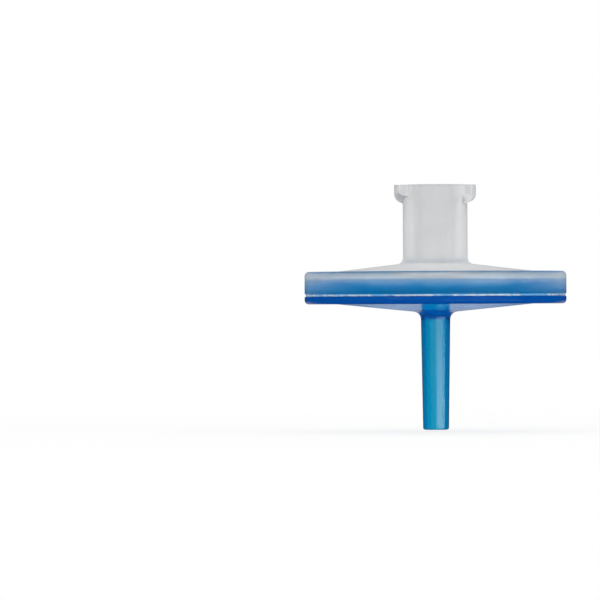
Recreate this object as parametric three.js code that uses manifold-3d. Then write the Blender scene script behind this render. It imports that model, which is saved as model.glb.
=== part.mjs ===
// Syringe filter, 25 mm across, with a female luer lock inlet and a plain outlet tube.
//
// Two moulded polypropylene housings are welded round the rim and clamp a membrane
// disc between them. Liquid enters the luer socket, spreads over the membrane between
// the ribs under the inlet cone, passes through it, and runs along the channels of the
// outlet housing into the tube.
//
// Millimetres, +Z up. The origin is the middle of the inlet's end face, and the
// filter hangs below it along -Z. The two lugs stand at +X and -X.
import * as THREE from 'three';
import { mergeVertices } from 'three/addons/utils/BufferGeometryUtils.js';
import Module from 'manifold-3d';

const wasm = await Module();
wasm.setup();

// ---- driving dimensions -------------------------------------------------------------

const flats = 48;                 // flats round every turned form
const arcStep = 30;               // degrees of arc to one flat of a rounded edge

// Levels, each measured down from the one before it
const inletHeight = 8.28;         // end face down to the top of the rim
const skirtHeight = 2.37;         // rim top down to the plane where the housings meet
const flangeThickness = 0.73;     // that plane down to the underside of the flange
const nozzleLength = 12.01;       // flange underside down to the tip of the tube

// Rim and weld: a tongue on the outlet housing stands in a groove of the inlet housing
const rimRadius = 12.5;
const skirtWall = 1.39;
const tongueWidth = 1.19;
const tongueHeight = 1.62;
const weldClearance = 0.05;       // round the tongue, on all three sides
const notchDepth = 0.2;           // open line round the rim, cut in from outside
const notchHeight = 0.2;
const skirtTopRound = 0.4;
const skirtFootRound = 0.1;
const flangeTopRound = 0.08;
const flangeFootRound = 0.4;
const weldRound = 0.15;

// Membrane and the ring that clamps its edge
const membraneThickness = 0.12;
const membraneEdgeGap = 0.37;     // membrane edge to the wall of the groove
const clampWidth = 1.5;

// Cones between the rim and the two connections, as fall per millimetre of radius
const rimLandWidth = 2.95;        // flat top of the rim, outside the inlet cone
const inletConeSlope = 0.118;
const flangeLandWidth = 3.1;      // flat underside of the flange, outside the outlet cone
const outletConeSlope = 0.1;

// Female luer socket: a 6 % taper, so the radius shrinks 3 % of the depth
const mouthRadius = 2.146;
const luerTaper = 0.03;
const mouthChamfer = 0.12;
const barrelRadius = 3.085;
const barrelEdgeRound = 0.1;
const barrelFillet = 0.62;
const boreFootRound = 0.3;

// Luer lock lugs: their underside follows a right-hand thread
const lugCount = 2;
const lugRadius = 3.9;
const lugWidth = 3.5;
const lugHeight = 1.42;           // at the middle of the lug
const lugStep = 0.02;             // lug top below the end face
const lugTopRound = 0.12;
const lugFootRound = 0.55;
const threadLead = 5;
const lugSlices = 7;

// Flow chamber above the membrane
const inletWall = 1.75;           // thickness under the inlet cone, straight down
const chamberRound = 0.2;
const firstRibRadius = 4.3;       // inner face of the innermost rib
const ribPitch = 1.2;
const ribRootWidth = 0.52;
const ribTipWidth = 0.38;
const ribMembraneGap = 0.2;

// Support grid below the membrane
const channelDepth = 0.3;         // at the outer edge of the grid
const floorSlope = 0.05;
const firstRingRadius = 1.45;
const ringPitch = 1.2;
const ringRootWidth = 0.6;
const ringTipWidth = 0.45;

// Radial gaps through the ribs and the rings, the same number above and below
const gapCount = 8;
const gapWidth = 0.6;
const gridEdgeGap = 0.25;         // least room between the last ring and the chamber wall

// Outlet tube
const nozzleTopRadius = 1.41;
const nozzleTipRadius = 1.235;
const nozzleBoreTop = 0.7;
const nozzleBoreTip = 0.6;
const nozzleFillet = 0.75;
const nozzleTipRound = 0.2;

// ---- places worked out from them ----------------------------------------------------

const rimTopZ = -inletHeight;
const partingZ = rimTopZ - skirtHeight;
const clampZ = partingZ + membraneThickness;
const flangeFootZ = partingZ - flangeThickness;
const tipZ = flangeFootZ - nozzleLength;

const grooveOuterRadius = rimRadius - skirtWall;
const tongueOuterRadius = grooveOuterRadius - weldClearance;
const tongueInnerRadius = tongueOuterRadius - tongueWidth;
const grooveInnerRadius = tongueInnerRadius - weldClearance;
const tongueTopZ = partingZ + tongueHeight;
const grooveTopZ = tongueTopZ + weldClearance;

const membraneRadius = grooveInnerRadius - membraneEdgeGap;
const chamberRadius = membraneRadius - clampWidth;

const inletConeRadius = rimRadius - rimLandWidth;
const outletConeRadius = rimRadius - flangeLandWidth;
const inletConeZ = (r) => rimTopZ + (inletConeRadius - r) * inletConeSlope;
const ceilingZ = (r) => inletConeZ(r) - inletWall;
const outletConeZ = (r) => flangeFootZ - (outletConeRadius - r) * outletConeSlope;
const floorZ = (r) => partingZ - channelDepth - (chamberRadius - r) * floorSlope;
const boreRadius = (z) => mouthRadius + z * luerTaper;

// ---- tools --------------------------------------------------------------------------

// Turns a list of corners [r, z, round] into outline points, with each round as an arc.
function outline(corners) {
  const points = [];
  corners.forEach(([r, z, round = 0], i) => {
    const corner = new THREE.Vector2(r, z);
    if (round === 0) {
      points.push(corner);
      return;
    }
    const before = new THREE.Vector2(...corners.at(i - 1)).sub(corner);
    const after = new THREE.Vector2(...corners[(i + 1) % corners.length]).sub(corner);
    const half = before.angleTo(after) / 2;
    const room = Math.min(before.length(), after.length()) * 0.49;
    const reach = Math.min(round / Math.tan(half), room);
    const radius = reach * Math.tan(half);
    const middle = before.clone().normalize().add(after.clone().normalize()).normalize();
    const centre = corner.clone().addScaledVector(middle, radius / Math.sin(half));
    const start = corner.clone().addScaledVector(before.normalize(), reach).sub(centre);
    const sweep = Math.PI - 2 * half;
    const turn = Math.sign(after.cross(before)) * sweep;
    const steps = Math.ceil(THREE.MathUtils.radToDeg(sweep) / arcStep);
    for (let step = 0; step <= steps; step += 1) {
      const spoke = start.clone().rotateAround(new THREE.Vector2(), (turn * step) / steps);
      points.push(centre.clone().add(spoke));
    }
  });
  return points;
}

// Makes a manifold solid of a closed three.js geometry.
function toSolid(geometry) {
  geometry.deleteAttribute('normal');
  geometry.deleteAttribute('uv');
  const welded = mergeVertices(geometry, 1e-5);
  const vertProperties = new Float32Array(welded.attributes.position.array);
  const triVerts = new Uint32Array(welded.index.array);
  return new wasm.Manifold(new wasm.Mesh({ numProp: 3, vertProperties, triVerts }));
}

// Turns a closed outline round the Z axis.
function revolve(corners) {
  const points = outline(corners);
  const lathe = new THREE.LatheGeometry([...points, points[0]], flats);
  return toSolid(lathe.rotateX(Math.PI / 2));
}

// Joins equal outlines, each a list of THREE.Vector3, into one closed surface.
function loft(sections) {
  const count = sections[0].length;
  const index = [];
  for (let s = 0; s + 1 < sections.length; s += 1) {
    for (let p = 0; p < count; p += 1) {
      const a = s * count + p;
      const b = s * count + ((p + 1) % count);
      index.push(a, a + count, b, b, a + count, b + count);
    }
  }
  const flat = sections[0].map((point) => new THREE.Vector2(point.x, point.z));
  const last = (sections.length - 1) * count;
  for (const [a, b, c] of THREE.ShapeUtils.triangulateShape(flat, [])) {
    index.push(a, b, c, last + c, last + b, last + a);
  }
  const geometry = new THREE.BufferGeometry().setFromPoints(sections.flat());
  return geometry.setIndex(index);
}

// Joins copies of a geometry, spaced evenly round the Z axis, into one solid.
function aroundAxis(geometry, count) {
  const turn = (2 * Math.PI) / count;
  const copies = Array.from({ length: count }, (_, i) => geometry.clone().rotateZ(i * turn));
  return copies.map(toSolid).reduce((all, copy) => all.add(copy));
}

function toMesh(name, solid, material) {
  const { vertProperties, triVerts } = solid.getMesh();
  const geometry = new THREE.BufferGeometry();
  geometry.setAttribute('position', new THREE.BufferAttribute(vertProperties, 3));
  geometry.setIndex(new THREE.BufferAttribute(triVerts, 1));
  geometry.computeVertexNormals();
  const mesh = new THREE.Mesh(geometry, material);
  mesh.name = name;
  return mesh;
}

// Concentric rings of tapered section, cut through by the radial gaps.
function cutRings(firstRadius, pitch, rootWidth, tipWidth, rootZ, tipZ) {
  const rings = [];
  const lastRadius = chamberRadius - gridEdgeGap - rootWidth;
  for (let inner = firstRadius; inner <= lastRadius; inner += pitch) {
    const middle = inner + rootWidth / 2;
    rings.push(revolve(ringSection(middle, rootWidth, tipWidth, rootZ(middle), tipZ)));
  }
  const depth = Math.abs(rootZ(firstRadius) - tipZ) * 4;
  const bar = new THREE.BoxGeometry(chamberRadius, gapWidth, depth);
  bar.translate(chamberRadius / 2, 0, tipZ);
  const gaps = aroundAxis(bar, gapCount);
  return rings.reduce((all, ring) => all.add(ring)).subtract(gaps);
}

// The section always runs from its lower edge to its upper edge on the outside.
function ringSection(middle, rootWidth, tipWidth, rootZ, tipZ) {
  const root = rootWidth / 2;
  const tip = tipWidth / 2;
  const section = [
    [middle - tip, tipZ],
    [middle + tip, tipZ],
    [middle + root, rootZ],
    [middle - root, rootZ],
  ];
  return rootZ > tipZ ? section : section.reverse();
}

// ---- inlet housing ------------------------------------------------------------------

function inletShell() {
  const lipRadius = rimRadius - notchDepth;
  const skirtFootZ = partingZ + notchHeight;
  const boreFootRadius = boreRadius(ceilingZ(mouthRadius));
  return revolve([
    [mouthRadius, -mouthChamfer],
    [boreFootRadius, ceilingZ(boreFootRadius), boreFootRound],
    [chamberRadius, ceilingZ(chamberRadius), chamberRound],
    [chamberRadius, clampZ],
    [grooveInnerRadius, clampZ],
    [grooveInnerRadius, grooveTopZ, weldRound],
    [grooveOuterRadius, grooveTopZ, weldRound],
    [grooveOuterRadius, partingZ],
    [lipRadius, partingZ],
    [lipRadius, skirtFootZ],
    [rimRadius, skirtFootZ, skirtFootRound],
    [rimRadius, rimTopZ, skirtTopRound],
    [inletConeRadius, rimTopZ],
    [barrelRadius, inletConeZ(barrelRadius), barrelFillet],
    [barrelRadius, 0, barrelEdgeRound],
    [mouthRadius + mouthChamfer, 0],
  ]);
}

// One lug at +X: flat sides, a round outside and an underside that climbs with +Y.
function lug() {
  const sections = [];
  for (let slice = 0; slice <= lugSlices; slice += 1) {
    const y = (slice / lugSlices - 0.5) * lugWidth;
    const outer = Math.sqrt(lugRadius ** 2 - y ** 2);
    const climb = (Math.atan2(y, outer) / (2 * Math.PI)) * threadLead;
    const footZ = climb - lugStep - lugHeight;
    const section = outline([
      [0, footZ],
      [outer, footZ, lugFootRound],
      [outer, -lugStep, lugTopRound],
      [0, -lugStep],
    ]);
    sections.push(section.map((point) => new THREE.Vector3(point.x, y, point.y)));
  }
  return loft(sections);
}

function lugs() {
  const wallMiddle = (mouthRadius + barrelRadius) / 2;
  const core = new THREE.CylinderGeometry(wallMiddle, wallMiddle, inletHeight, flats);
  return aroundAxis(lug(), lugCount).subtract(toSolid(core.rotateX(Math.PI / 2)));
}

function inletHousing() {
  const ribFoot = (r) => ceilingZ(r) + inletWall / 3;
  const ribs = cutRings(firstRibRadius, ribPitch, ribRootWidth, ribTipWidth, ribFoot,
    clampZ + ribMembraneGap);
  return inletShell().add(lugs()).add(ribs);
}

// ---- outlet housing -----------------------------------------------------------------

function outletShell() {
  return revolve([
    [nozzleBoreTop, floorZ(nozzleBoreTop)],
    [nozzleBoreTip, tipZ],
    [nozzleTipRadius, tipZ, nozzleTipRound],
    [nozzleTopRadius, outletConeZ(nozzleTopRadius), nozzleFillet],
    [outletConeRadius, flangeFootZ],
    [rimRadius, flangeFootZ, flangeFootRound],
    [rimRadius, partingZ, flangeTopRound],
    [tongueOuterRadius, partingZ],
    [tongueOuterRadius, tongueTopZ, weldRound],
    [tongueInnerRadius, tongueTopZ, weldRound],
    [tongueInnerRadius, partingZ],
    [chamberRadius, partingZ],
    [chamberRadius, floorZ(chamberRadius)],
  ]);
}

function outletHousing() {
  const ringFoot = (r) => floorZ(r) - flangeThickness / 4;
  const rings = cutRings(firstRingRadius, ringPitch, ringRootWidth, ringTipWidth, ringFoot,
    partingZ);
  return outletShell().add(rings);
}

// ---- membrane -----------------------------------------------------------------------

function membraneDisc() {
  const disc = new THREE.CylinderGeometry(membraneRadius, membraneRadius, membraneThickness,
    flats);
  return toSolid(disc.rotateX(Math.PI / 2).translate(0, 0, partingZ + membraneThickness / 2));
}

// ---- assembly -----------------------------------------------------------------------

const naturalPlastic = new THREE.MeshStandardMaterial({
  color: 0xd2d7db, roughness: 0.35, metalness: 0,
});
const bluePlastic = new THREE.MeshStandardMaterial({
  color: 0x0a62ac, roughness: 0.22, metalness: 0,
});
const whiteMembrane = new THREE.MeshStandardMaterial({
  color: 0xf1f3f3, roughness: 0.85, metalness: 0,
});

const syringeFilter = new THREE.Group();
syringeFilter.add(toMesh('inlet_housing', inletHousing(), naturalPlastic));
syringeFilter.add(toMesh('membrane', membraneDisc(), whiteMembrane));
syringeFilter.add(toMesh('outlet_housing', outletHousing(), bluePlastic));

export default syringeFilter;
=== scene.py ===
# %% [markdown]
# # A syringe filter in Blender
#
# The filter is two moulded polypropylene housings, welded round the rim, with a white
# membrane disc clamped between them. The inlet housing is natural, milky plastic and
# carries a female luer lock socket. The outlet housing is clear blue plastic and ends in
# a slim tube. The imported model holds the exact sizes. This lesson builds the fine
# surfaces around it, gives each piece its plastic, and sets a soft white studio.

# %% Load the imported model
import math

import bmesh
import bpy
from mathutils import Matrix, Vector


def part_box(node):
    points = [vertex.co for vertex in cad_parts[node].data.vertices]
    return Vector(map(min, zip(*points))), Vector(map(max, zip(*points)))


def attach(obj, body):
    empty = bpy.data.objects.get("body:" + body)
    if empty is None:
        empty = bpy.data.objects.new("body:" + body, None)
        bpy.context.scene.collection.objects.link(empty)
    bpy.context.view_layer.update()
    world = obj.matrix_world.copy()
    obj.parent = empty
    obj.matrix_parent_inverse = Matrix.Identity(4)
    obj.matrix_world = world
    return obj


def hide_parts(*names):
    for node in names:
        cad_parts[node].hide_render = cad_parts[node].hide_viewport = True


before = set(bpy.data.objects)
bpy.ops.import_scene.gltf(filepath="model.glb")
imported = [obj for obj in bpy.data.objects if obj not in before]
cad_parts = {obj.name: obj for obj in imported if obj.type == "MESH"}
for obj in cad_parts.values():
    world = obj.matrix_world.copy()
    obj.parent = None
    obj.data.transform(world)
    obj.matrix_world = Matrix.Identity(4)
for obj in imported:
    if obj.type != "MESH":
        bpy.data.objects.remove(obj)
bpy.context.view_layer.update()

# %% [markdown]
# Sizes are written in millimetres and multiplied by `MM`, because Blender's scene is in
# metres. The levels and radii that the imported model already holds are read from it, so
# the fine pieces sit exactly where the model has them.

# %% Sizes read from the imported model
MM = 0.001

inlet_low, inlet_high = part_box("inlet_housing")
outlet_low, outlet_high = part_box("outlet_housing")
_, membrane_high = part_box("membrane")

rim_radius = inlet_high.x
parting_z = inlet_low.z
clamp_z = membrane_high.z
tongue_top_z = outlet_high.z
tip_z = outlet_low.z
membrane_radius = membrane_high.x
print("rim radius", rim_radius, "parting plane", parting_z, "tip", tip_z)

# %% [markdown]
# ## Drawing an outline and turning it
#
# Both housings are turned shapes: the same section all the way round the axis. By hand
# one would draw half of the section as a chain of edges, round its corners with a vertex
# bevel, and spin the chain. That needs far fewer steps than stacking cylinders, and each
# edge of the real moulding stays one corner that is easy to find again.

# %% Helpers to select and to draw
SPIN_STEPS = 192
MERGE_DISTANCE = 1e-7
PICK_DISTANCE = 2e-6
ARC_STEP = math.radians(15)


def deselect_all():
    bpy.ops.object.select_all(action="DESELECT")


def make_active(piece):
    deselect_all()
    piece.select_set(True)
    bpy.context.view_layer.objects.active = piece


def select_where(piece, test, kind="verts"):
    """In edit mode, selects only the vertices, edges or faces that pass the test."""
    bpy.ops.mesh.select_all(action="DESELECT")
    shape = bmesh.from_edit_mesh(piece.data)
    for element in getattr(shape, kind):
        element.select_set(test(element))
    shape.select_flush_mode()
    bmesh.update_edit_mesh(piece.data)


def start_outline(name, radius, height):
    """A plane primitive, merged to one vertex, is the outline's first point."""
    deselect_all()
    bpy.ops.mesh.primitive_plane_add(size=MM)
    piece = bpy.context.object
    piece.name = piece.data.name = name
    bpy.ops.object.mode_set(mode="EDIT")
    bpy.ops.mesh.select_all(action="SELECT")
    bpy.ops.mesh.merge(type="CENTER")
    bpy.ops.transform.translate(value=(radius, 0, height))
    return piece


def close_outline(piece):
    select_where(piece, lambda vertex: len(vertex.link_edges) == 1)
    bpy.ops.mesh.edge_face_add()


def round_corner(piece, radius, height, fillet):
    """Bevels the outline's vertex at this place to an arc of the fillet's radius."""
    place = Vector((radius, 0, height))
    shape = bmesh.from_edit_mesh(piece.data)
    corner = min(shape.verts, key=lambda vertex: (vertex.co - place).length)
    legs = [edge.other_vert(corner).co - corner.co for edge in corner.link_edges]
    angle = legs[0].angle(legs[1])
    steps = max(3, math.ceil((math.pi - angle) / ARC_STEP))
    select_where(piece, lambda vertex: (vertex.co - place).length < PICK_DISTANCE)
    bpy.ops.mesh.bevel(
        offset=fillet / math.tan(angle / 2), segments=steps, affect="VERTICES", profile=0.5
    )


def draw_outline(name, corners):
    """Draws a closed outline through corners (radius, height, fillet), in millimetres."""
    radius, height = corners[0][:2]
    piece = start_outline(name, radius * MM, height * MM)
    for next_radius, next_height, _ in corners[1:]:
        step = ((next_radius - radius) * MM, 0, (next_height - height) * MM)
        bpy.ops.mesh.extrude_vertices_move(TRANSFORM_OT_translate={"value": step})
        radius, height = next_radius, next_height
    close_outline(piece)
    for radius, height, fillet in corners:
        if fillet:
            round_corner(piece, radius * MM, height * MM, fillet * MM)
    return piece


def spin_outline(piece, angle=2 * math.pi, steps=SPIN_STEPS):
    """Turns the outline round the Z axis, and leaves edit mode."""
    bpy.ops.mesh.select_all(action="SELECT")
    bpy.ops.mesh.spin(steps=steps, angle=angle, center=(0, 0, 0), axis=(0, 0, 1))
    bpy.ops.mesh.select_all(action="SELECT")
    bpy.ops.mesh.remove_doubles(threshold=MERGE_DISTANCE)
    bpy.ops.mesh.delete_loose()
    bpy.ops.mesh.select_all(action="SELECT")
    bpy.ops.mesh.normals_make_consistent(inside=False)
    bpy.ops.object.mode_set(mode="OBJECT")
    return piece


def join_solids(piece, others):
    """Fuses closed solids into the piece with Boolean modifiers, and applies them."""
    for other in others:
        make_active(piece)
        union = piece.modifiers.new("union", "BOOLEAN")
        union.operation = "UNION"
        union.solver = "EXACT"
        union.object = other
        bpy.ops.object.modifier_apply(modifier=union.name)
        bpy.data.meshes.remove(other.data)


def report_mesh(piece):
    """Prints the size of a mesh and any edge that doesn't join exactly two faces."""
    shape = bmesh.new()
    shape.from_mesh(piece.data)
    loose = sum(len(edge.link_faces) != 2 for edge in shape.edges)
    volume = shape.calc_volume(signed=True) / MM**3
    print(f"{piece.name}: {len(shape.faces)} faces, {loose} open edges, {volume:.1f} mm3")
    shape.free()


# %% [markdown]
# ## The inlet housing
#
# This is one moulding. Its outside runs from the socket's mouth down the barrel, over a
# shallow cone to the rim, and down the skirt. Inside are the socket's 6 % taper, the low
# chamber over the membrane, the flat ring that clamps the membrane and the groove that
# takes the weld. The corners below follow it once round, with a fillet where the mould
# has one. A narrow notch at the skirt's foot leaves the open line round the rim.

# %% Sizes of the inlet housing, in millimetres
RIM = rim_radius / MM
PARTING = parting_z / MM
CLAMP = clamp_z / MM
RIM_TOP = -8.28
CONE_EDGE = 9.55
CONE_SLOPE = 0.118
BARREL = 3.085
MOUTH = 2.146
MOUTH_CHAMFER = 0.12
LUER_TAPER = 0.03
WALL_UNDER_CONE = 1.75
CHAMBER = 7.95
GROOVE_INNER = 9.82
GROOVE_OUTER = 11.11
WELD_GAP = 0.05
TONGUE_TOP = tongue_top_z / MM
NOTCH = 0.2
FACE_GAP = 0.012


def cone_height(radius):
    return RIM_TOP + (CONE_EDGE - radius) * CONE_SLOPE


def ceiling_height(radius):
    return cone_height(radius) - WALL_UNDER_CONE


# %% Draw and turn the inlet housing
bore_foot = MOUTH + ceiling_height(MOUTH) * LUER_TAPER
groove_top = TONGUE_TOP + WELD_GAP
lip = RIM - NOTCH
inlet = draw_outline(
    "inlet_moulding",
    [
        (MOUTH + MOUTH_CHAMFER, 0, 0.05),
        (BARREL, 0, 0.1),
        (BARREL, cone_height(BARREL), 0.62),
        (CONE_EDGE, RIM_TOP, 1.5),
        (RIM, RIM_TOP, 0.42),
        (RIM, PARTING + NOTCH, 0.1),
        (lip, PARTING + NOTCH, 0.03),
        (lip, PARTING + FACE_GAP, 0),
        (GROOVE_OUTER, PARTING + FACE_GAP, 0),
        (GROOVE_OUTER, groove_top, 0.15),
        (GROOVE_INNER, groove_top, 0.15),
        (GROOVE_INNER, CLAMP, 0.05),
        (CHAMBER, CLAMP, 0.05),
        (CHAMBER, ceiling_height(CHAMBER), 0.2),
        (bore_foot, ceiling_height(bore_foot), 0.3),
        (MOUTH, -MOUTH_CHAMFER, 0.05),
    ],
)
spin_outline(inlet)
report_mesh(inlet)

# %% [markdown]
# The two lugs of a luer lock stand out from the barrel's end. Each is cut from a disc whose
# underside is sliced at the slope of a thread with a lead of 5 mm. The whole edges are
# bevelled first, the lower one to a large round and the upper one to a small one. Bevels
# run cleanly along a full circle, and only then do three more slices leave the lug itself.
# The second lug is a copy, turned half way round, with a mesh of its own.

# %% Cut the lugs and fuse them to the barrel
LUG_RADIUS = 3.9
LUG_WIDTH = 3.5
LUG_HEIGHT = 1.42
LUG_STEP = 0.02
LUG_ROOT = 2.35
LUG_FOOT_ROUND = 0.55
LUG_TOP_ROUND = 0.12
LOWER_EDGE_BELOW = -0.5
UPPER_EDGE_ABOVE = -0.03
RIM_TOLERANCE = 0.02
SHORTEST_EDGE = 0.01
THREAD_LEAD = 5


def cut_away(place, normal):
    """Removes what lies on the normal's side of a plane, and closes the cut."""
    bpy.ops.mesh.select_all(action="SELECT")
    bpy.ops.mesh.bisect(
        plane_co=[c * MM for c in place], plane_no=normal, use_fill=True,
        clear_outer=True, threshold=MERGE_DISTANCE,
    )


def on_rim(edge, test):
    """True if the edge runs round the disc's rim and both its ends pass the test."""
    first, second = edge.verts
    rim = (LUG_RADIUS - RIM_TOLERANCE) * MM
    outside = min(first.co.xy.length, second.co.xy.length) > rim
    runs_round = (first.co.xy - second.co.xy).length > SHORTEST_EDGE * MM
    return outside and runs_round and test(first.co.z / MM) and test(second.co.z / MM)


def bevel_edges(piece, test, size, segments):
    select_where(piece, test, "edges")
    bpy.ops.mesh.bevel(offset=size * MM, segments=segments, affect="EDGES", profile=0.5)


def make_lug():
    deselect_all()
    depth = 4 * LUG_HEIGHT
    bpy.ops.mesh.primitive_cylinder_add(
        vertices=SPIN_STEPS, radius=LUG_RADIUS * MM, depth=depth * MM,
        location=(0, 0, -(LUG_STEP + depth / 2) * MM),
    )
    lug = bpy.context.object
    lug.name = lug.data.name = "lug"
    bpy.ops.object.transform_apply(location=True, rotation=True, scale=True)
    bpy.ops.object.mode_set(mode="EDIT")
    climb = THREAD_LEAD / (2 * math.pi * LUG_RADIUS)
    cut_away((LUG_RADIUS, 0, -LUG_STEP - LUG_HEIGHT), (0, climb, -1))
    bevel_edges(
        lug, lambda edge: on_rim(edge, lambda z: z < LOWER_EDGE_BELOW), LUG_FOOT_ROUND,
        segments=8,
    )
    bevel_edges(
        lug, lambda edge: on_rim(edge, lambda z: z > UPPER_EDGE_ABOVE), LUG_TOP_ROUND,
        segments=4,
    )
    cut_away((LUG_ROOT, 0, 0), (-1, 0, 0))
    cut_away((0, LUG_WIDTH / 2, 0), (0, 1, 0))
    cut_away((0, -LUG_WIDTH / 2, 0), (0, -1, 0))
    bpy.ops.mesh.select_all(action="SELECT")
    bpy.ops.mesh.normals_make_consistent(inside=False)
    bpy.ops.object.mode_set(mode="OBJECT")
    return lug


lug = make_lug()
make_active(lug)
bpy.ops.object.duplicate()
second_lug = bpy.context.object
second_lug.name = second_lug.data.name = "second_lug"
bpy.ops.object.mode_set(mode="EDIT")
bpy.ops.mesh.select_all(action="SELECT")
bpy.ops.transform.rotate(value=math.pi, orient_axis="Z", center_override=(0, 0, 0))
bpy.ops.object.mode_set(mode="OBJECT")
report_mesh(lug)
report_mesh(second_lug)
join_solids(inlet, [lug, second_lug])
report_mesh(inlet)

# %% [markdown]
# Three ribs in rings stand under the chamber's ceiling. They keep the membrane from
# pressing flat against it, and eight straight gaps cut them, so that the liquid can spread.
# Only one eighth is modelled: three short outlines turned through 45 degrees, with half a
# gap cut off each end. Spin, with its duplicates option, then sets it out round the axis.

# %% Model one eighth of a set of rings, and repeat it
GAPS = 8
GAP_WIDTH = 0.6
SECTOR = 2 * math.pi / GAPS


def ring_sector(name, sections):
    """Short rings of the given sections through one sector, less half a gap at each end.

    Spin turns clockwise for a positive angle, seen from above, so the angle is negative."""
    parts = []
    for section in sections:
        part = draw_outline(name, section)
        spin_outline(part, -SECTOR, SPIN_STEPS // GAPS)
        parts.append(part)
    make_active(parts[0])
    for part in parts[1:]:
        part.select_set(True)
    bpy.ops.object.join()
    piece = bpy.context.object
    bpy.ops.object.mode_set(mode="EDIT")
    sine, cosine = math.sin(SECTOR), math.cos(SECTOR)
    side = GAP_WIDTH / 2
    cut_away((0, side, 0), (0, -1, 0))
    cut_away((side * sine, -side * cosine, 0), (-sine, cosine, 0))
    return piece


def repeat_sector(piece):
    """Sets the sector out all round the axis, and leaves edit mode."""
    bpy.ops.mesh.select_all(action="SELECT")
    bpy.ops.mesh.spin(
        steps=GAPS - 1, dupli=True, angle=2 * math.pi - SECTOR, center=(0, 0, 0), axis=(0, 0, 1)
    )
    bpy.ops.mesh.select_all(action="SELECT")
    bpy.ops.mesh.normals_make_consistent(inside=False)
    bpy.ops.object.mode_set(mode="OBJECT")
    return piece


def ring_section(radius, foot, tip, foot_width, tip_width, fillet=0.06):
    """A ring's section: foot wider than tip for the mould's draft, and a rounded tip."""
    return [
        (radius - foot_width / 2, foot, 0),
        (radius - tip_width / 2, tip, fillet),
        (radius + tip_width / 2, tip, fillet),
        (radius + foot_width / 2, foot, 0),
    ]


# %% [markdown]
# The ribs' feet are sunk into the ceiling, so that the Boolean finds solid to join them to.
# Their tips end a little above the membrane, and the liquid runs over them too. A ring's
# two widths are those of its foot and its tip.

# %% The ribs under the inlet's ceiling
RIB_RADII = (4.56, 5.76, 6.96)
RIB_TIP = CLAMP + 0.2
RIB_SUNK = 0.3
RIB_WIDTHS = (0.54, 0.38)
ribs = ring_sector(
    "ribs",
    [
        ring_section(radius, ceiling_height(radius) + RIB_SUNK, RIB_TIP, *RIB_WIDTHS)
        for radius in RIB_RADII
    ],
)
repeat_sector(ribs)
report_mesh(ribs)
join_solids(inlet, [ribs])
report_mesh(inlet)

# %% [markdown]
# ## The outlet housing
#
# The second moulding is a flanged disc with a slim nozzle under it. A tongue stands up from
# the flange into the inlet's groove, where the weld joins the two. The floor inside is
# shallow and falls a little towards the bore. It is an outline to spin, as before. The
# nozzle tapers, and a wide fillet carries it into the cone.

# %% Draw and turn the outlet housing
FLANGE_FOOT = -11.38
OUTLET_CONE_EDGE = 9.4
OUTLET_CONE_SLOPE = 0.1
TONGUE_INNER = 9.87
TONGUE_OUTER = 11.06
CHANNEL_DEPTH = 0.3
FLOOR_SLOPE = 0.05
TIP = tip_z / MM
NOZZLE_TOP = 1.41
NOZZLE_TIP = 1.235
BORE_TOP = 0.7
BORE_TIP = 0.6


def underside_height(radius):
    return FLANGE_FOOT - (OUTLET_CONE_EDGE - radius) * OUTLET_CONE_SLOPE


def floor_height(radius):
    return PARTING - CHANNEL_DEPTH - (CHAMBER - radius) * FLOOR_SLOPE


outlet = draw_outline(
    "outlet_moulding",
    [
        (BORE_TOP, floor_height(BORE_TOP), 0.15),
        (CHAMBER, floor_height(CHAMBER), 0.08),
        (CHAMBER, PARTING, 0.04),
        (TONGUE_INNER, PARTING, 0.05),
        (TONGUE_INNER, TONGUE_TOP, 0.15),
        (TONGUE_OUTER, TONGUE_TOP, 0.15),
        (TONGUE_OUTER, PARTING, 0.05),
        (RIM, PARTING, 0.08),
        (RIM, FLANGE_FOOT, 0.4),
        (OUTLET_CONE_EDGE, FLANGE_FOOT, 0.8),
        (NOZZLE_TOP, underside_height(NOZZLE_TOP), 0.75),
        (NOZZLE_TIP, TIP, 0.2),
        (BORE_TIP, TIP, 0.05),
    ],
)
spin_outline(outlet)
report_mesh(outlet)

# %% [markdown]
# Five rings stand up from the floor, closer together than the ribs above, because they
# carry the membrane when the liquid presses on it. Eight radial channels cut them and lead
# the filtered liquid to the bore. They are made as the ribs were, from one eighth.

# %% The rings that carry the membrane
SUPPORT_RADII = (1.75, 2.95, 4.15, 5.35, 6.55)
SUPPORT_TIP = PARTING - 0.005
SUPPORT_SUNK = 0.2
SUPPORT_WIDTHS = (0.64, 0.45)
supports = ring_sector(
    "supports",
    [
        ring_section(radius, floor_height(radius) - SUPPORT_SUNK, SUPPORT_TIP, *SUPPORT_WIDTHS)
        for radius in SUPPORT_RADII
    ],
)
repeat_sector(supports)
report_mesh(supports)
join_solids(outlet, [supports])
report_mesh(outlet)

# %% [markdown]
# ## The membrane
#
# The membrane is a thin porous sheet, clamped at its edge between the two housings and
# held up by the rings inside. Wet or dry, such a sheet sags a hair between its supports,
# so its section is drawn with shallow dips. It keeps a few thousandths of a millimetre
# clear of both housings, so that no faces coincide.

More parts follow.
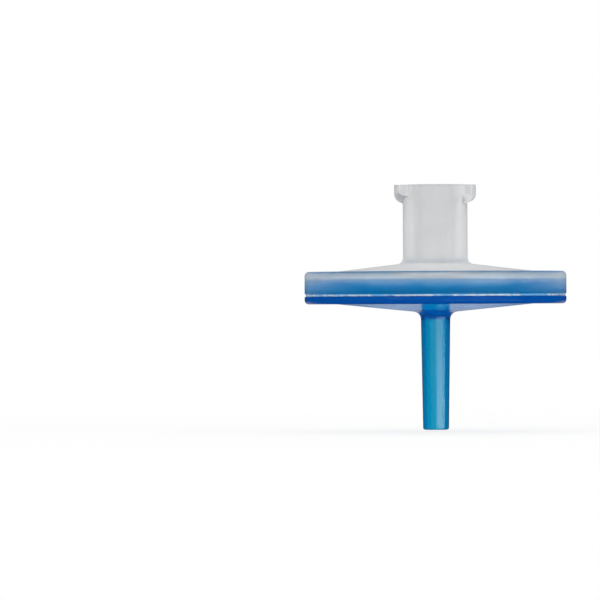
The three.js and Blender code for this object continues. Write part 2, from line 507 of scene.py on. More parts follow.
# %% Draw and turn the membrane
SHEET_TOP = CLAMP - 0.005
SHEET_FOOT = PARTING + 0.008
SHEET_EDGE = membrane_radius / MM
SHEET_SAG = 0.02
FIRST_STATION = 0.9
stations = [FIRST_STATION]
for inner, outer in zip(SUPPORT_RADII, SUPPORT_RADII[1:] + (CHAMBER,)):
    stations += [inner, (inner + outer) / 2]
sags = [SHEET_SAG / 2] + [0, SHEET_SAG] * len(SUPPORT_RADII)
upper = [(r, SHEET_TOP - sag, 0) for r, sag in zip(stations, sags)]
lower = [(r, SHEET_FOOT - sag, 0) for r, sag in zip(stations, sags)]
sheet = draw_outline(
    "membrane_sheet",
    [(0, SHEET_TOP - SHEET_SAG, 0)]
    + upper
    + [(CHAMBER, SHEET_TOP, 0), (SHEET_EDGE, SHEET_TOP, 0.03), (SHEET_EDGE, SHEET_FOOT, 0.03)]
    + [(CHAMBER, SHEET_FOOT, 0)]
    + lower[::-1]
    + [(0, SHEET_FOOT - SHEET_SAG, 0)],
)
spin_outline(sheet)
report_mesh(sheet)

# %% [markdown]
# ## The weld's flash
#
# When the two mouldings are welded, a little melt squeezes out and freezes as a thin, pale,
# uneven bead in the notch between them. A small ring is spun with many steps, and a
# Displace modifier with a clouds texture swells it in some places and starves it in others.

# %% Spin the bead, then make it uneven
BEAD_STEPS = 960
BEAD_REACH = 0.10
BEAD_SHOULDER = 0.07
BEAD_HALF_HEIGHT = 0.09
LUMP_SIZE = 0.35
LUMP_SWELL = 0.10
bead_middle = PARTING + NOTCH / 2
bead = draw_outline(
    "weld_flash",
    [
        (lip - BEAD_REACH, bead_middle - BEAD_HALF_HEIGHT, 0.02),
        (lip + BEAD_SHOULDER, bead_middle - BEAD_HALF_HEIGHT, 0.03),
        (lip + BEAD_REACH, bead_middle, 0),
        (lip + BEAD_SHOULDER, bead_middle + BEAD_HALF_HEIGHT, 0.03),
        (lip - BEAD_REACH, bead_middle + BEAD_HALF_HEIGHT, 0.02),
    ],
)
spin_outline(bead, steps=BEAD_STEPS)
lumps = bpy.data.textures.new("melt_lumps", "CLOUDS")
lumps.noise_scale = LUMP_SIZE * MM
lumps.noise_depth = 2
make_active(bead)
swell = bead.modifiers.new("swell", "DISPLACE")
swell.texture = lumps
swell.texture_coords = "LOCAL"
swell.mid_level = 0.5
swell.strength = LUMP_SWELL * MM
bpy.ops.object.modifier_apply(modifier=swell.name)
bpy.data.textures.remove(lumps)
report_mesh(bead)

# %% [markdown]
# ## Materials
#
# Clear and cloudy plastics are told apart by what passes through them. Each housing is a
# clear shader with a cloudy one mixed in. The clear one refracts, with full transmission.
# The cloudy one stands for light that is scattered inside the wall, and its share changes
# from place to place with the wall's thickness. An absorbing volume deepens the colour
# where the plastic is thick. All patterns lie on Object coordinates, so that they have a
# real size in millimetres.

# %% Helpers to build node trees
NODE_COLUMN = 220
NODE_ROW = 260


def new_material(name):
    material = bpy.data.materials.new(name)
    material.use_nodes = True
    material.node_tree.nodes.clear()
    return material, material.node_tree


def add_node(tree, kind, at, **values):
    """Adds a node in a column and row, and sets its inputs or properties by name."""
    node = tree.nodes.new("ShaderNode" + kind)
    node.location = (at[0] * NODE_COLUMN, at[1] * NODE_ROW)
    for name, value in values.items():
        words = name.replace("_", " ")
        socket = next((s for s in node.inputs if s.name.lower() == words), None)
        if socket is None:
            setattr(node, name, value)
        else:
            socket.default_value = value
    return node


def link(tree, source, target, from_socket=0, to_socket=0):
    tree.links.new(source.outputs[from_socket], target.inputs[to_socket])


def give_material(piece, material):
    piece.data.materials.clear()
    piece.data.materials.append(material)
    print(material.name, "has", len(material.node_tree.nodes), "nodes")


# %% [markdown]
# The trees below are made of a few building blocks: noise of a given size, a range of
# numbers mapped to another, two numbers combined, and two numbers or colours mixed by a
# share. With these as functions, each material reads as a short list of what it does.

# %% Building blocks of the trees
NOISE_LOW = 0.3
NOISE_HIGH = 0.7


def add_noise(tree, coordinates, size, at, detail=4, roughness=0.5):
    """Noise whose lumps are about this size, in millimetres."""
    noise = add_node(
        tree, "TexNoise", at, scale=1 / (size * MM), detail=detail, roughness=roughness
    )
    link(tree, coordinates, noise, "Object", "Vector")
    return noise


def add_range(tree, source, low, high, to_low, to_high, at, from_socket=0):
    """Maps one range of numbers to another, held at its ends."""
    mapping = add_node(tree, "MapRange", at)
    mapping.inputs["From Min"].default_value = low
    mapping.inputs["From Max"].default_value = high
    mapping.inputs["To Min"].default_value = to_low
    mapping.inputs["To Max"].default_value = to_high
    link(tree, source, mapping, from_socket, "Value")
    return mapping


def spread_noise(tree, noise, low, high, at):
    """Spreads the range in which most of a noise lies over other numbers."""
    return add_range(tree, noise, NOISE_LOW, NOISE_HIGH, low, high, at)


def combine(tree, operation, first, second, at, first_socket=0, second_socket=0):
    result = add_node(tree, "Math", at, operation=operation)
    link(tree, first, result, first_socket, 0)
    link(tree, second, result, second_socket, 1)
    return result


def mix_numbers(tree, share, first, second, at, share_socket=0):
    """Mixes two numbers. Each is a plain number or a node whose first output it is."""
    mix = add_node(tree, "Mix", at, data_type="FLOAT")
    link(tree, share, mix, share_socket, 0)
    for socket, value in ((2, first), (3, second)):
        if isinstance(value, (int, float)):
            mix.inputs[socket].default_value = value
        else:
            link(tree, value, mix, 0, socket)
    return mix


def mix_colours(tree, share, first, second, at):
    """Mixes two colours. Each is a tuple or another mix of colours."""
    mix = add_node(tree, "Mix", at, data_type="RGBA")
    link(tree, share, mix, 0, 0)
    for socket, colour in ((6, first), (7, second)):
        if isinstance(colour, tuple):
            mix.inputs[socket].default_value = (*colour, 1)
        else:
            link(tree, colour, mix, 2, socket)
    return mix


# %% [markdown]
# Three things matter again and again: how high a point lies, how far it is from the axis,
# and whether light meets the plastic from outside there. Heights are measured from the
# inlet's mouth. Below, heights and radii come in pairs, in millimetres, and between the
# two some number changes evenly from one value to another. Cloudiness is only added on
# outside faces. On the way out it would be counted twice.

# %% Heights, distances from the axis, and outside faces
def distance_from_axis(tree, place, at):
    flat = add_node(tree, "VectorMath", at, operation="MULTIPLY")
    flat.inputs[1].default_value = (1, 1, 0)
    link(tree, place, flat, "Object", 0)
    length = add_node(tree, "VectorMath", (at[0] + 1, at[1]), operation="LENGTH")
    link(tree, flat, length)
    return length


def between_heights(tree, axes, heights, ends, at):
    """Goes from the first end to the second between the two heights."""
    return add_range(tree, axes, heights[0] * MM, heights[1] * MM, *ends, at, "Z")


def between_radii(tree, radius, radii, ends, at):
    """Goes from the first end to the second between the two distances from the axis."""
    return add_range(tree, radius, radii[0] * MM, radii[1] * MM, *ends, at, "Value")


def on_outer_face(tree, share, at):
    """Keeps a share only where light meets the plastic from outside."""
    geometry = add_node(tree, "NewGeometry", (at[0] - 2, at[1] + 1))
    outer = add_range(tree, geometry, 0, 1, 1, 0, (at[0] - 1, at[1] + 1), "Backfacing")
    return combine(tree, "MULTIPLY", share, outer, at)


# %% [markdown]
# Where the two mouldings are welded, the plastics touch: light crosses from one into the
# other without a reflection, and the blue shows clearly through the skirt. Where the melt
# didn't reach, a film of air stays and the joint looks pale. So the refractive index falls
# almost to one on the welded faces. The edge of that zone wanders, as melted plastic does.

# %% The welded zone
WELD_INDEX = 1.03
PLASTIC_INDEX = 1.49
WELD_LINE = -8.9
WELD_LINE_BLUR = 0.1
WELD_WANDER = 0.35
WELD_LUMPS = 1.1
WELD_INSIDE = (9.70, 9.76)
WELD_OUTSIDE = (11.5, 11.6)


def welded_zone(tree, place, at):
    """A number that is 1 on the faces of tongue and groove that melted together."""
    x, y = at
    axes = add_node(tree, "SeparateXYZ", (x, y))
    link(tree, place, axes, "Object", "Vector")
    radius = distance_from_axis(tree, place, (x, y + 1))
    inner = between_radii(tree, radius, WELD_INSIDE, (0, 1), (x + 2, y + 2))
    outer = between_radii(tree, radius, WELD_OUTSIDE, (1, 0), (x + 2, y + 1))
    ring = combine(tree, "MULTIPLY", inner, outer, (x + 3, y + 1))
    melt = add_noise(tree, place, WELD_LUMPS, (x, y - 1), roughness=0.6)
    wander = spread_noise(tree, melt, -WELD_WANDER * MM, WELD_WANDER * MM, (x + 1, y - 1))
    height = combine(tree, "ADD", axes, wander, (x + 2, y - 1), "Z")
    line_foot = (WELD_LINE - WELD_LINE_BLUR) * MM
    line_top = (WELD_LINE + WELD_LINE_BLUR) * MM
    below = add_range(tree, height, line_foot, line_top, 1, 0, (x + 3, y - 1))
    return combine(tree, "MULTIPLY", ring, below, (x + 4, y))


# %% [markdown]
# ### The natural plastic
#
# Polypropylene without a dye looks milky, because its crystals scatter light. The cloudy
# part is light grey on the hub and a little darker at its mouth: the lighter foot is painted
# light, where the rim shades the hub from below. The lugs are painted darker still, to tone
# down the strong light from the front, and painted lighter along their outer and lower edges,
# which face away from the lamps. In the rim the cloudy colour is painted blue light from the
# moulding behind it: strong near the skirt's foot, pale above the tongue, and a thin dark
# line of painted shade along the upper edge.

# %% Colour of the cloudy natural plastic
HUB_FOOT_TO_MOUTH = (-8, 0)
LUG_LOWER_PAINTED_LIGHT = (-1.1, -0.85)
LUG_OUTER_PAINTED_LIGHT = (3.75, 3.85)
SKIRT_FOOT_TO_TOP = (-10.3, -9.3)
TONGUE_END = (-9.15, -8.90)
PAINTED_SHADE_LINE_HEIGHTS = (-8.52, -8.40)
MOUTH_GREY = (0.56, 0.57, 0.58)
# Painted light: the hub's foot is lighter, because the rim shades it from below.
HUB_FOOT_PAINTED_LIGHT_GREY = (0.82, 0.83, 0.84)
# Painted shade and light on the lugs: darker faces against the front lamps, and lighter lower
# and outer edges, which face away from them.
LUG_PAINTED_SHADE_GREY = (0.51, 0.52, 0.53)
LUG_EDGE_PAINTED_LIGHT_GREY = (0.61, 0.62, 0.63)
# Painted light: the skirt's blues and the band's grey stand for blue light that comes through
# from the moulding behind the rim.
SKIRT_FOOT_PAINTED_BLUE_LIGHT = (0.14, 0.46, 0.80)
SKIRT_TOP_PAINTED_BLUE_LIGHT = (0.30, 0.42, 0.56)
BAND_PAINTED_LIGHT_GREY = (0.50, 0.57, 0.63)
# Painted shade: a thin dark blue line along the rim's upper edge.
RIM_EDGE_PAINTED_SHADE_BLUE = (0.15, 0.27, 0.45)


def natural_colour_and_painted_light(tree, axes, radius, in_lug, in_rim):
    painted_foot_light = between_heights(tree, axes, HUB_FOOT_TO_MOUTH, (1, 0), (-1, 1))
    hub = mix_colours(tree, painted_foot_light, MOUTH_GREY, HUB_FOOT_PAINTED_LIGHT_GREY, (0, 1))
    lower_edge_painted_light = between_heights(tree, axes, LUG_LOWER_PAINTED_LIGHT, (1, 0), (-2, 4))
    far_out = between_radii(tree, radius, LUG_OUTER_PAINTED_LIGHT, (0, 1), (-2, 3))
    edges = combine(tree, "MAXIMUM", lower_edge_painted_light, far_out, (-1, 3))
    lug = mix_colours(tree, edges, LUG_PAINTED_SHADE_GREY, LUG_EDGE_PAINTED_LIGHT_GREY, (0, 3))
    hub_and_lugs = mix_colours(tree, in_lug, hub, lug, (1, 0))
    up_skirt = between_heights(tree, axes, SKIRT_FOOT_TO_TOP, (0, 1), (-2, -4))
    skirt = mix_colours(tree, up_skirt, SKIRT_FOOT_PAINTED_BLUE_LIGHT, SKIRT_TOP_PAINTED_BLUE_LIGHT, (-1, -3))
    over_tongue = between_heights(tree, axes, TONGUE_END, (0, 1), (-1, -4))
    band = mix_colours(tree, over_tongue, skirt, BAND_PAINTED_LIGHT_GREY, (0, -3))
    in_shade_line = between_heights(tree, axes, PAINTED_SHADE_LINE_HEIGHTS, (0, 1), (0, -4))
    rim = mix_colours(tree, in_shade_line, band, RIM_EDGE_PAINTED_SHADE_BLUE, (1, -3))
    return mix_colours(tree, in_rim, hub_and_lugs, rim, (2, -2))


# %% [markdown]
# The lugs are solid and the cloudiest. On the skirt the haze grows upwards from a clear
# foot, along a line that waves a little. Seen aslant, light goes a longer way through the
# wall, so the haze also grows towards the outline, again with a clearer foot.

# %% Share of the cloudy natural plastic
HUB_SHARE = 0.45
LUG_SHARE = 0.85
SKIRT_SHARE = 0.42
BAND_SHARE = 0.36
OUTLINE_SHARE = 0.7
OUTLINE_SHARE_AT_FOOT = 0.13
HAZE_FOOT = -10.05
HAZE_TOP = -9.25
HAZE_WAVE = 0.14
HAZE_WAVE_LENGTH = 3
OUTLINE_HAZE = (-10.45, -9.1)
OUTLINE_SLANT = (0.15, 0.7)
MOTTLE = 0.2
MOTTLE_SIZE = 2.2


def natural_share(tree, place, axes, in_lug, in_rim):
    waves = add_noise(tree, place, HAZE_WAVE_LENGTH, (-6, 2), roughness=0.6)
    wave = spread_noise(tree, waves, -HAZE_WAVE * MM, HAZE_WAVE * MM, (-5, 2))
    wavy = combine(tree, "ADD", axes, wave, (-4, 2), "Z")
    rise = add_range(tree, wavy, HAZE_FOOT * MM, HAZE_TOP * MM, 0, 1, (-3, 2))
    soft_rise = combine(tree, "MULTIPLY", rise, rise, (-2, 2))
    most = between_heights(tree, axes, TONGUE_END, (SKIRT_SHARE, BAND_SHARE), (-2, 3))
    skirt = combine(tree, "MULTIPLY", soft_rise, most, (-1, 2))
    hub = add_range(tree, in_lug, 0, 1, HUB_SHARE, LUG_SHARE, (-1, 5))
    even = mix_numbers(tree, in_rim, hub, skirt, (0, 3))
    clouds = add_noise(tree, place, MOTTLE_SIZE, (-2, 1))
    mottle = spread_noise(tree, clouds, 1 - MOTTLE, 1 + MOTTLE, (0, 2))
    mottled = combine(tree, "MULTIPLY", even, mottle, (1, 3))
    slant = add_node(tree, "LayerWeight", (-1, 4), blend=0.5)
    outline = add_range(tree, slant, *OUTLINE_SLANT, 0, OUTLINE_SHARE, (0, 4), "Facing")
    foot_to_full = (OUTLINE_SHARE_AT_FOOT, 1)
    above_foot = between_heights(tree, axes, OUTLINE_HAZE, foot_to_full, (0, 6))
    edge = combine(tree, "MULTIPLY", outline, above_foot, (1, 4))
    return combine(tree, "MAXIMUM", mottled, edge, (2, 3))


# %% [markdown]
# The mould leaves a satin skin. Its roughness varies by a few hundredths, in fine streaks,
# and drops to nothing on the welded faces, where there is no skin any more.

# %% The natural plastic
OUTSIDE_BARREL = (3.12, 3.4)
UNDER_LUGS = (-2.4, -2.1)
HUB_TO_RIM = (9.0, 11.5)
NATURAL_ROUGHNESS = (0.285, 0.33)
NATURAL_STREAK = 0.6
HUB_PASSING = (0.87, 0.875, 0.88)
RIM_PASSING = (1.0, 1.0, 1.0)
HAZE_TINT = (0.70, 0.85, 0.90, 1)
HAZE_DENSITY = 6


def make_natural_plastic():
    material, tree = new_material("natural_plastic_satin")
    output = add_node(tree, "OutputMaterial", (6, 0))
    place = add_node(tree, "TexCoord", (-7, 0))
    axes = add_node(tree, "SeparateXYZ", (-6, -1))
    link(tree, place, axes, "Object", "Vector")
    radius = distance_from_axis(tree, place, (-4, -3))
    far_out = between_radii(tree, radius, OUTSIDE_BARREL, (0, 1), (-2, 8))
    high_up = between_heights(tree, axes, UNDER_LUGS, (0, 1), (-2, 7))
    in_lug = combine(tree, "MULTIPLY", far_out, high_up, (-1, 7))
    in_rim = between_radii(tree, radius, HUB_TO_RIM, (0, 1), (-2, -3))
    clear = add_node(
        tree, "BsdfPrincipled", (4, 1), transmission_weight=1.0,
        specular_tint=(0.25, 0.25, 0.25, 1),
    )
    passing = mix_colours(tree, in_rim, HUB_PASSING, RIM_PASSING, (2, 0))
    link(tree, passing, clear, 2, "Base Color")
    cloudy = add_node(
        tree, "BsdfPrincipled", (3, -1), ior=PLASTIC_INDEX, specular_ior_level=0.1
    )
    link(tree, natural_colour_and_painted_light(tree, axes, radius, in_lug, in_rim), cloudy, 2, "Base Color")
    share = natural_share(tree, place, axes, in_lug, in_rim)
    zone = welded_zone(tree, place, (-6, 5))
    loose = add_range(tree, zone, 0, 1, 1, 0, (1, 5))
    index = add_range(tree, zone, 0, 1, PLASTIC_INDEX, WELD_INDEX, (3, 5))
    link(tree, index, clear, 0, "IOR")
    streaks = add_noise(tree, place, NATURAL_STREAK, (-2, 0), detail=5, roughness=0.6)
    skin = spread_noise(tree, streaks, *NATURAL_ROUGHNESS, (-1, 0))
    link(tree, combine(tree, "MULTIPLY", skin, loose, (0, 0)), clear, 0, "Roughness")
    link(tree, skin, cloudy, 0, "Roughness")
    blend = add_node(tree, "MixShader", (5, 0))
    outside = on_outer_face(tree, share, (3, 2))
    link(tree, combine(tree, "MULTIPLY", outside, loose, (4, 2)), blend, 0, "Fac")
    link(tree, clear, blend, "BSDF", 1)
    link(tree, cloudy, blend, "BSDF", 2)
    haze = add_node(
        tree, "VolumeAbsorption", (4, -2), color=HAZE_TINT, density=HAZE_DENSITY
    )
    link(tree, blend, output, "Shader", "Surface")
    link(tree, haze, output, "Volume", "Volume")
    return material


give_material(inlet, make_natural_plastic())

# %% [markdown]
# ### The blue plastic
#
# The second moulding is dyed and glossy. Its dye is clear, so the thin nozzle is light blue
# in the middle and deeper towards its flanks. The flange is so thick that it looks almost
# solid. The cone under it is paler, and its neck is painted darker, as shade in the crease
# where it runs into the nozzle. The tongue, seen through the skirt, is lit from all sides,
# and its blue is painted lighter than the flange's for that light.

# %% Colour of the cloudy blue plastic
NECK_TO_CONE = (-12, -11.85)
CONE_TO_FLANGE = (9.0, 9.8)
TONGUE_BLEND = 0.1
FLANGE_CLOUD = 1.5
FLANGE_BLUES = ((0.0, 0.052, 0.27), (0.0, 0.075, 0.34))
# Painted shade: the neck is darker in the crease where the cone runs into the nozzle.
NECK_PAINTED_SHADE_BLUE = (0.0, 0.16, 0.66)
CONE_BLUE = (0.0, 0.34, 0.92)
# Painted light: the tongue is lighter, because it is lit from all sides.
TONGUE_PAINTED_LIGHT_BLUE = (0.0, 0.38, 1.0)


def blue_colour_and_painted_light(tree, place, axes, radius):
    clouds = add_noise(tree, place, FLANGE_CLOUD, (-2, 1))
    flange = mix_colours(tree, clouds, *FLANGE_BLUES, (0, 1))
    over_neck = between_heights(tree, axes, NECK_TO_CONE, (0, 1), (-1, -1))
    cone = mix_colours(tree, over_neck, NECK_PAINTED_SHADE_BLUE, CONE_BLUE, (0, 0))
    in_cone = between_radii(tree, radius, CONE_TO_FLANGE, (1, 0), (0, -1))
    below = mix_colours(tree, in_cone, flange, cone, (1, 0))
    blended = parting_z + TONGUE_BLEND * MM
    in_tongue = add_range(tree, axes, parting_z, blended, 0, 1, (1, 1), "Z")
    return mix_colours(tree, in_tongue, below, TONGUE_PAINTED_LIGHT_BLUE, (2, 0))


# %% [markdown]
# The nozzle is almost clear. The disc is cloudy from its neck outwards, and most of all in
# the flange, where the share that starts under the rim is added to it.

# %% Share of the cloudy blue plastic
NOZZLE_SHARE = 0.04
NECK_SHARE = 0.5
CONE_SHARE = 0.6
FLANGE_EXTRA_SHARE = 0.35
NOZZLE_WALL_TO_CONE = (1.42, 1.6)
NOZZLE_TO_NECK = (-12.95, -12.65)
CONE_TO_RIM = (9.4, 11)


def blue_share(tree, axes, radius):
    nozzle_to_cone = (NOZZLE_SHARE, CONE_SHARE)
    cone = between_radii(tree, radius, NOZZLE_WALL_TO_CONE, nozzle_to_cone, (-1, 3))
    neck = between_heights(tree, axes, NOZZLE_TO_NECK, (0, NECK_SHARE), (-1, 5))
    disc = combine(tree, "MAXIMUM", cone, neck, (0, 4))
    rim = between_radii(tree, radius, CONE_TO_RIM, (0, FLANGE_EXTRA_SHARE), (-1, 4))
    return combine(tree, "ADD", disc, rim, (0, 3))


# %% [markdown]
# A volume of dye takes away nearly all red within a millimetre, and over the nozzle's width
# much of the green and some of the blue. The cloudy part is hardly glossy itself, as the
# clear part above it already mirrors the lamps. On the welded faces it thins out a little.

# %% The blue plastic
BLUE_ROUGHNESS = (0.17, 0.22)
BLUE_STREAK = 0.8
BONDED_SHARE = 0.7
DYE_TINT = (0.0, 0.85, 0.925, 1)
DYE_DENSITY = 5000


def make_blue_plastic():
    material, tree = new_material("blue_plastic_glossy")
    output = add_node(tree, "OutputMaterial", (6, 0))
    place = add_node(tree, "TexCoord", (-7, 0))
    axes = add_node(tree, "SeparateXYZ", (-4, -1))
    link(tree, place, axes, "Object", "Vector")
    radius = distance_from_axis(tree, place, (-4, 1))
    clear = add_node(
        tree, "BsdfPrincipled", (4, 1), base_color=(0.93, 0.93, 0.93, 1),
        transmission_weight=1.0,
    )
    body = add_node(
        tree, "BsdfPrincipled", (3, -1), ior=PLASTIC_INDEX, specular_ior_level=0.03
    )
    link(tree, blue_colour_and_painted_light(tree, place, axes, radius), body, 2, "Base Color")
    zone = welded_zone(tree, place, (-6, 6))
    loose = add_range(tree, zone, 0, 1, 1, 0, (0, 6))
    bonded = add_range(tree, zone, 0, 1, 1, BONDED_SHARE, (2, 6))
    index = add_range(tree, zone, 0, 1, PLASTIC_INDEX, WELD_INDEX, (3, 5))
    link(tree, index, clear, 0, "IOR")
    streaks = add_noise(tree, place, BLUE_STREAK, (-2, -2))
    skin = spread_noise(tree, streaks, *BLUE_ROUGHNESS, (-1, -2))
    link(tree, combine(tree, "MULTIPLY", skin, loose, (2, -2)), clear, 0, "Roughness")
    link(tree, skin, body, 0, "Roughness")
    blend = add_node(tree, "MixShader", (5, 0))
    outside = on_outer_face(tree, blue_share(tree, axes, radius), (3, 3))
    link(tree, combine(tree, "MULTIPLY", outside, bonded, (4, 3)), blend, 0, "Fac")
    link(tree, clear, blend, "BSDF", 1)
    link(tree, body, blend, "BSDF", 2)
    dye = add_node(tree, "VolumeAbsorption", (4, -2), color=DYE_TINT, density=DYE_DENSITY)
    link(tree, blend, output, "Shader", "Surface")
    link(tree, dye, output, "Volume", "Volume")
    return material


give_material(outlet, make_blue_plastic())

# %% [markdown]
# ### The weld's flash
#
# The frozen melt is whitish where it foamed, and bluish where the dyed plastic ran into it.
# One noise of four millimetres decides which stretches are filled, and a finer one breaks
# them up. It is thin, so a plain shader with a little transmission is enough.

# %% The weld flash's plastic
DYED_BLUE = (0.14, 0.42, 0.74)
FOAM_WHITE = (0.60, 0.69, 0.78)
FOAM_LUMP = 0.7
FOAM_EDGE = (0.35, 0.6)
STRETCH = 4
STRETCH_EDGE = (0.38, 0.42)


def make_flash_plastic():
    material, tree = new_material("weld_flash_white")
    output = add_node(tree, "OutputMaterial", (5, 0))
    place = add_node(tree, "TexCoord", (-3, 0))
    body = add_node(
        tree, "BsdfPrincipled", (3, 0), ior=PLASTIC_INDEX, roughness=0.45,
        transmission_weight=0.15,
    )
    lumps = add_noise(tree, place, FOAM_LUMP, (-2, 1))
    foam = add_range(tree, lumps, *FOAM_EDGE, 0, 1, (0, 1))
    stretches = add_noise(tree, place, STRETCH, (-2, 3), detail=2)
    filled = add_range(tree, stretches, *STRETCH_EDGE, 0, 1, (-1, 3))
    white = combine(tree, "MULTIPLY", foam, filled, (0, 3))
    tint = mix_colours(tree, white, DYED_BLUE, FOAM_WHITE, (1, 1))
    link(tree, tint, body, 2, "Base Color")
    link(tree, body, output, "BSDF", "Surface")
    return material


give_material(bead, make_flash_plastic())

# %% [markdown]
# ### The membrane
#
# The membrane is matt and white, like fine paper. It is opaque, so it has no transmission.
# A fine noise gives it fibres, in its colour and as a shallow bump.

# %% The membrane's paper
PAPER_WHITES = ((0.86, 0.87, 0.875), (0.93, 0.935, 0.935))
FIBRE_DEPTH = 0.03
FIBRE_SIZE = 0.25


def make_membrane():
    material, tree = new_material("membrane_paper")
    output = add_node(tree, "OutputMaterial", (5, 0))
    place = add_node(tree, "TexCoord", (-3, 0))
    body = add_node(
        tree, "BsdfPrincipled", (3, 0), roughness=0.85, specular_ior_level=0.25,
    )
    fibres = add_noise(tree, place, FIBRE_SIZE, (-2, 1), detail=6, roughness=0.7)
    tint = mix_colours(tree, fibres, *PAPER_WHITES, (1, 1))
    link(tree, tint, body, 2, "Base Color")
    bump = add_node(tree, "Bump", (1, -1), strength=0.3, distance=FIBRE_DEPTH * MM)
    link(tree, fibres, bump, "Fac", "Height")
    link(tree, bump, body, "Normal", "Normal")
    link(tree, body, output, "BSDF", "Surface")
    return material


give_material(sheet, make_membrane())

# %% [markdown]
# Turned plastic looks smooth all round but keeps crisp edges. Shading by angle does both: it
# smooths the steps of the spin, and leaves edges sharper than 35 degrees as they are.

# %% Smooth shading
SMOOTH_UP_TO = math.radians(35)
for piece in (inlet, outlet, sheet, bead):
    make_active(piece)
    bpy.ops.object.shade_smooth_by_angle(angle=SMOOTH_UP_TO)

# %% [markdown]
# ## The studio
#
# The surroundings are white, but not for every ray alike. Rays from the camera, and those
# that have passed through clear plastic, find plain white. Diffuse light finds a lower
# level, at which a colour looks as it is written once the lamps are on. Mirrored rays find
# the room dark, apart from a white backdrop behind the object. So the glossy plastic keeps
# its deep colour, and only faces that one looks along turn light. Sizes in the studio are
# in metres.

# %% The white surroundings
PLAIN_LEVEL = 0.68
DARK_LEVEL = 0.02
BACKDROP_LEVEL = 0.7
BACKDROP_STEEPNESS = (0.08, 0.18)
BACKDROP_DEPTH = (0.80, 0.92)


def add_seen(tree, path, at):
    """A number that is 1 for rays from the camera and for those that pass through."""
    return combine(
        tree, "MAXIMUM", path, path, at, "Is Camera Ray", "Is Transmission Ray"
    )


world = bpy.data.worlds.new("studio")
bpy.context.scene.world = world
world.use_nodes = True
tree = world.node_tree
tree.nodes.clear()
output = add_node(tree, "OutputWorld", (3, 0))
sky = add_node(tree, "Background", (2, 0), color=(1, 1, 1, 1))
path = add_node(tree, "LightPath", (-2, 0))
seen = add_seen(tree, path, (-1, 0))
direction = add_node(tree, "TexCoord", (-3, -1))
axes = add_node(tree, "SeparateXYZ", (-2, -1))
link(tree, direction, axes, "Generated", "Vector")
steepness = add_node(tree, "Math", (-1, -1), operation="ABSOLUTE")
link(tree, axes, steepness, "Z")
slanting = add_range(tree, steepness, *BACKDROP_STEEPNESS, 0, 1, (0, -1))
behind = add_range(tree, axes, *BACKDROP_DEPTH, 0, 1, (-1, -2), "Y")
backdrop = combine(tree, "MULTIPLY", slanting, behind, (0, -2))
mirrored = add_range(tree, backdrop, 0, 1, DARK_LEVEL, BACKDROP_LEVEL, (0, -3))
unseen = mix_numbers(tree, path, PLAIN_LEVEL, mirrored, (1, -1), "Is Glossy Ray")
level = mix_numbers(tree, seen, unseen, 1.0, (1, 0))
link(tree, level, sky, 0, "Strength")
link(tree, sky, output, "Background", "Surface")
print("world:", len(tree.nodes), "nodes")

# %% [markdown]
# A pale matt floor lies just under the nozzle's tip and takes a soft shadow. Away from the
# shadow it glows for the camera, so that it melts into the white behind it. It isn't
# mirrored in the plastic.

# %% The floor
FLOOR_SIZE = 6
FLOOR_DROP = 0.0002
SHADOW_TO_GLOW = (0.03, 0.12)
GLOW_IN_SHADOW = 0.8
deselect_all()
bpy.ops.mesh.primitive_plane_add(size=FLOOR_SIZE, location=(0, 0, tip_z - FLOOR_DROP))
floor = bpy.context.object
floor.name = floor.data.name = "floor"
bpy.ops.object.transform_apply(location=True, rotation=True, scale=True)
material, tree = new_material("pale_floor")
output = add_node(tree, "OutputMaterial", (5, 0))
matt = add_node(tree, "BsdfDiffuse", (2, 1), color=(0.95, 0.95, 0.95, 1))
glow = add_node(tree, "Emission", (2, -1), color=(1, 1, 1, 1), strength=1.0)
shadowed = add_node(tree, "MixShader", (3, 0))
unmirrored = add_node(tree, "BsdfTransparent", (3, -2))
final = add_node(tree, "MixShader", (4, 0))
place = add_node(tree, "TexCoord", (-2, -2))
path = add_node(tree, "LightPath", (-2, 0))
seen = add_seen(tree, path, (-1, 0))
reach = distance_from_axis(tree, place, (-1, -2))
near = add_range(tree, reach, *SHADOW_TO_GLOW, GLOW_IN_SHADOW, 1, (1, -2), "Value")
link(tree, combine(tree, "MULTIPLY", seen, near, (2, 0)), shadowed, 0, "Fac")
link(tree, matt, shadowed, 0, 1)
link(tree, glow, shadowed, 0, 2)
link(tree, path, final, "Is Glossy Ray", "Fac")
link(tree, shadowed, final, 0, 1)
link(tree, unmirrored, final, 0, 2)
link(tree, final, output, 0, "Surface")
give_material(floor, material)

# %% [markdown]
# Two kinds of lamp light the filter. Low strips on the camera's side are there to be
# mirrored. A wide dim one before the nozzle and two brighter ones to its sides give the
# streaks of glossy round plastic. A small one close to the nozzle and below it brightens
# the right-hand streak towards the tip. The large fills at both sides and the panel
# overhead aren't mirrored. They light the cloudy plastic evenly. Clear plastic doesn't
# show any lamp through itself, or it would flare when it is seen from behind.

# %% Strips to mirror, and fills
LAMP_DISTANCE = 0.5
STRIP_HEIGHT = 0.18
STRIP_LEVEL = -0.02
FILL_SIZE = (0.40, 0.45)
FILL_LEVEL = 0.05


def add_lamp(name, place, size, power, mirrored):
    """A soft rectangle that faces the object. Its size and place are in metres."""
    lamp_data = bpy.data.lights.new(name, "AREA")
    lamp_data.shape = "RECTANGLE"
    lamp_data.size, lamp_data.size_y = size
    lamp_data.energy = power
    lamp = bpy.data.objects.new(name, lamp_data)
    bpy.context.collection.objects.link(lamp)
    lamp.location = place
    aim = Vector((0, 0, parting_z)) - lamp.location
    lamp.rotation_euler = aim.to_track_quat("-Z", "Y").to_euler()
    lamp.visible_glossy = mirrored
    lamp.visible_transmission = False


def beside_camera(azimuth, height):
    """A place round the object, so many degrees to the right of the camera."""
    turn = math.radians(azimuth)
    return Vector((math.sin(turn) * LAMP_DISTANCE, -math.cos(turn) * LAMP_DISTANCE, height))


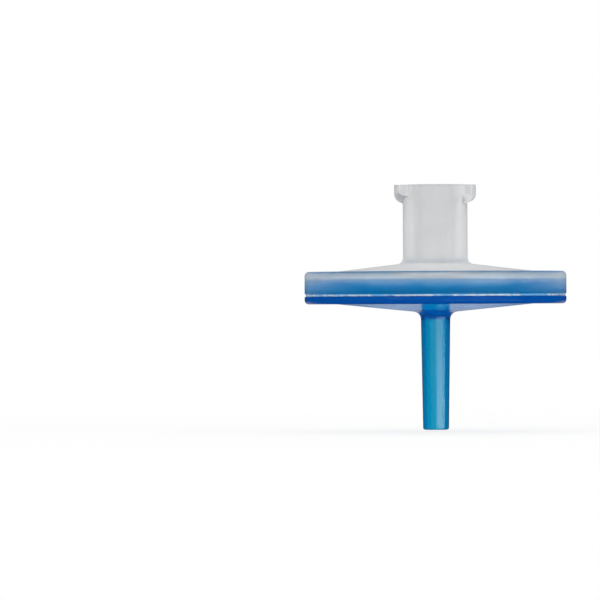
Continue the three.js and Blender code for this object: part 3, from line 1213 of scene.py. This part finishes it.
add_lamp("wide_strip", beside_camera(0, STRIP_LEVEL), (0.90, STRIP_HEIGHT), 0.4, True)
add_lamp("right_strip", beside_camera(43, STRIP_LEVEL), (0.34, STRIP_HEIGHT), 0.3, True)
add_lamp("left_strip", beside_camera(-36, STRIP_LEVEL), (0.08, STRIP_HEIGHT), 0.2, True)
add_lamp("near_strip", Vector((0.066, -0.073, -0.057)), (0.16, 0.05), 0.11, True)
add_lamp("left_fill", beside_camera(-66, FILL_LEVEL), FILL_SIZE, 1.2, False)
add_lamp("right_fill", beside_camera(54, FILL_LEVEL), FILL_SIZE, 1.5, False)
add_lamp("top_panel", Vector((0, 0, 0.7)), (0.6, 0.6), 0.9, False)
print("lamps:", len(bpy.data.lights))

# %% [markdown]
# ## The camera
#
# The filter is seen straight from its side, from about half a metre, as in a catalogue. It
# stands to the right of the frame's middle, and leans by a quarter of a degree.

# %% The camera
CAMERA_DISTANCE = 0.55
FRAME_WIDTH = 0.0573
FRAME_LEFT = 0.01294
FRAME_MIDDLE = -0.01095
SENSOR_WIDTH = 36
CAMERA_LEAN = math.radians(0.27)
camera_data = bpy.data.cameras.new("camera")
camera_data.sensor_width = SENSOR_WIDTH
camera_data.lens = SENSOR_WIDTH * CAMERA_DISTANCE / FRAME_WIDTH
camera_data.clip_start = 0.01
camera = bpy.data.objects.new("camera", camera_data)
bpy.context.collection.objects.link(camera)
camera.location = (-FRAME_LEFT, -CAMERA_DISTANCE, FRAME_MIDDLE)
camera.rotation_euler = (math.pi / 2, CAMERA_LEAN, 0)
bpy.context.scene.camera = camera
bpy.context.scene.view_settings.view_transform = "Standard"

# %% [markdown]
# ## Hand over
#
# Each piece rides on the one body and stands for its CAD node, which is hidden. The flash
# has no node of its own, so it only rides along.

# %% Ride, and hide the CAD nodes
for piece, slot, node in (
    (inlet, "natural_plastic", "inlet_housing"),
    (outlet, "blue_plastic", "outlet_housing"),
    (sheet, "white_membrane", "membrane"),
):
    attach(piece, "root")
    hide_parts(node)
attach(bead, "root")
